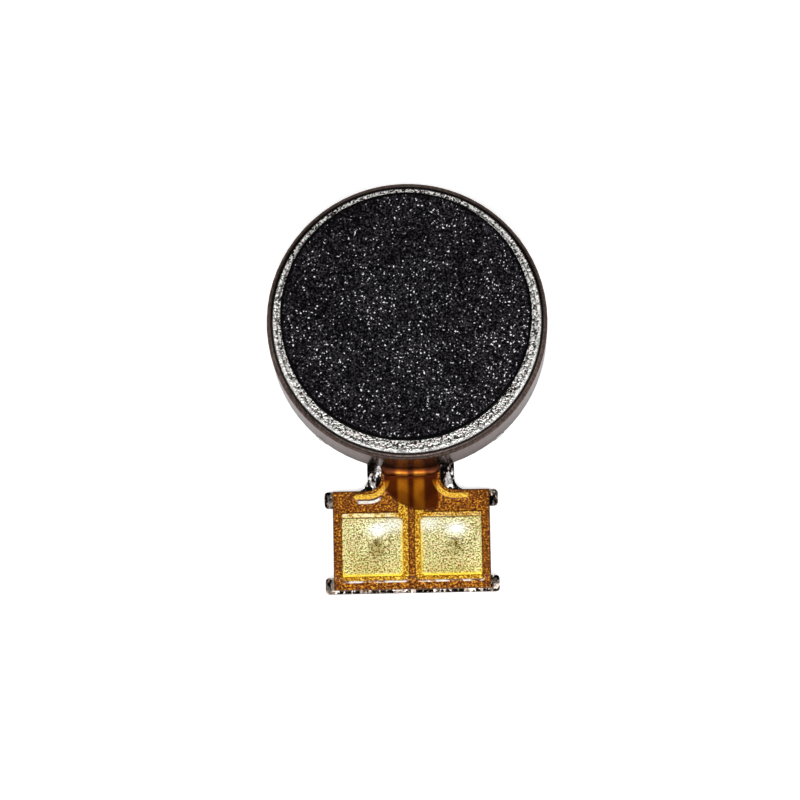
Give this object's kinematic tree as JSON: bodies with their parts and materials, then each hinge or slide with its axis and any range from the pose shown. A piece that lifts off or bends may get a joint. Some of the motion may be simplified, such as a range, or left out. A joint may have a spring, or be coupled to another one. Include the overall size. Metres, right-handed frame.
{
  "type": "vibration coin motor",
  "caption": "Flat round vibration motor: steel can with an eccentric rotor inside, a black foam pad on top and a short tail with two gold contact pads.",
  "frame": {"origin": "on the rotor's axis, at the underside of the base plate", "axes": "+Z from the base plate to the foam pad along the rotor's axis; the contact tail runs along -Y; +X to the right seen from the foam side with the tail towards the viewer"},
  "size_m": [0.01, 0.0144, 0.003],
  "materials": {
    "can_steel": "satin",
    "plate_steel": "satin",
    "weld_metal": "gloss",
    "pin_steel": "polished",
    "slip_plastic": "satin",
    "magnet_nickel": "satin",
    "clear_glue": "gloss",
    "polyimide": "gloss",
    "coverlay_film": "gloss",
    "copper": "satin",
    "gold_plate": "satin",
    "brush_alloy": "satin",
    "solder": "gloss",
    "uv_sealant": "gloss",
    "tape": "satin",
    "black_foam": "matte",
    "bearing_bronze": "satin",
    "board_laminate": "satin",
    "coil_wire": "gloss",
    "tungsten": "satin",
    "black_resin": "satin"
  },
  "bodies": {
    "housing": {"case": "can_steel", "base_plate": "plate_steel", "weld_spots": "weld_metal", "shaft": "pin_steel", "lower_washer": "slip_plastic", "upper_washer": "slip_plastic", "ring_magnet": "magnet_nickel", "magnet_glue": "clear_glue", "flex_adhesive": "clear_glue", "flex_base_film": "polyimide", "trace_left": "copper", "trace_right": "copper", "tear_guards": "copper", "flex_coverlay": "coverlay_film", "contact_pad_left": "gold_plate", "contact_pad_right": "gold_plate", "brush_left": "brush_alloy", "brush_right": "brush_alloy", "brush_solder": "solder", "exit_sealant": "uv_sealant", "pad_tape": "tape", "foam_pad": "black_foam"},
    "rotor": {"bearing": "bearing_bronze", "rotor_board": "board_laminate", "commutator": "copper", "coil_left": "coil_wire", "coil_right": "coil_wire", "counterweight": "tungsten", "rotor_moulding": "black_resin", "coil_solder": "solder"}
  },
  "joints": [
    {"name": "rotor_spin", "type": "hinge", "parent": "housing", "child": "rotor", "pos_m": [0, 0, 0.0016], "axis": [0, 0, 1], "continuous": true}
  ]
}
